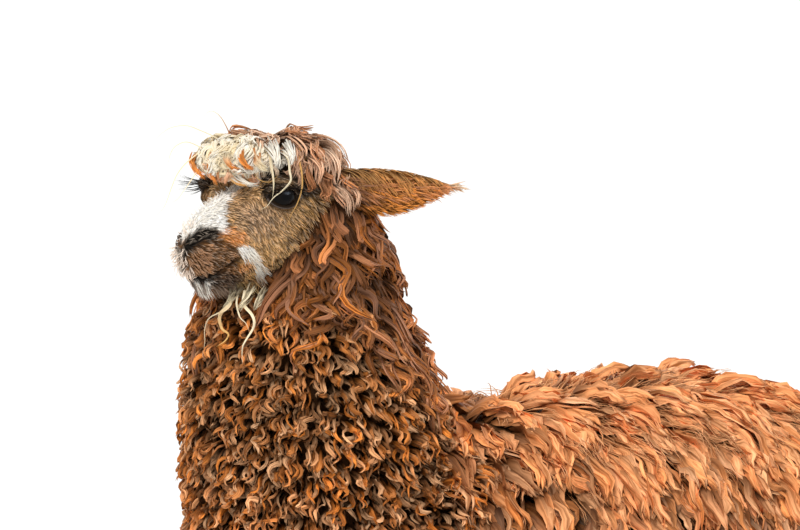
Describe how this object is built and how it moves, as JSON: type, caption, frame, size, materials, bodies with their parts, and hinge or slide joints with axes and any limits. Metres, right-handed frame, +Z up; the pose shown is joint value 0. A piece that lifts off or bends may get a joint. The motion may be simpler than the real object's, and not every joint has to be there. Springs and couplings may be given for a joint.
{
  "type": "alpaca",
  "caption": "Standing adult alpaca with a long-woolled neck and body, its head turned a little to its left and its ears laid back.",
  "frame": {"origin": "on the floor, under the middle of the whole animal's box", "axes": "+Z up; -Y ahead of the animal, the way it faces; +X towards the animal's left side"},
  "size_m": [0.3918, 1.0335, 1.2221],
  "materials": {
    "fleece": "matt, wet wool fleece",
    "face": "short matt hair",
    "ear": "short matt hair on skin",
    "eye": "polished, very dark",
    "nail": "dull dark horn"
  },
  "bodies": {
    "root": {"head": "face", "neck": "fleece", "trunk": "fleece", "tail": "fleece", "ear_left": "ear", "ear_right": "ear", "eye_left": "eye", "eye_right": "eye", "front_left_upper_leg": "fleece", "front_left_lower_leg": "fleece", "front_left_foot": "fleece", "front_left_nail_inner": "nail", "front_left_nail_outer": "nail", "front_right_upper_leg": "fleece", "front_right_lower_leg": "fleece", "front_right_foot": "fleece", "front_right_nail_inner": "nail", "front_right_nail_outer": "nail", "hind_left_upper_leg": "fleece", "hind_left_lower_leg": "fleece", "hind_left_foot": "fleece", "hind_left_nail_inner": "nail", "hind_left_nail_outer": "nail", "hind_right_upper_leg": "fleece", "hind_right_lower_leg": "fleece", "hind_right_foot": "fleece", "hind_right_nail_inner": "nail", "hind_right_nail_outer": "nail"}
  },
  "joints": []
}
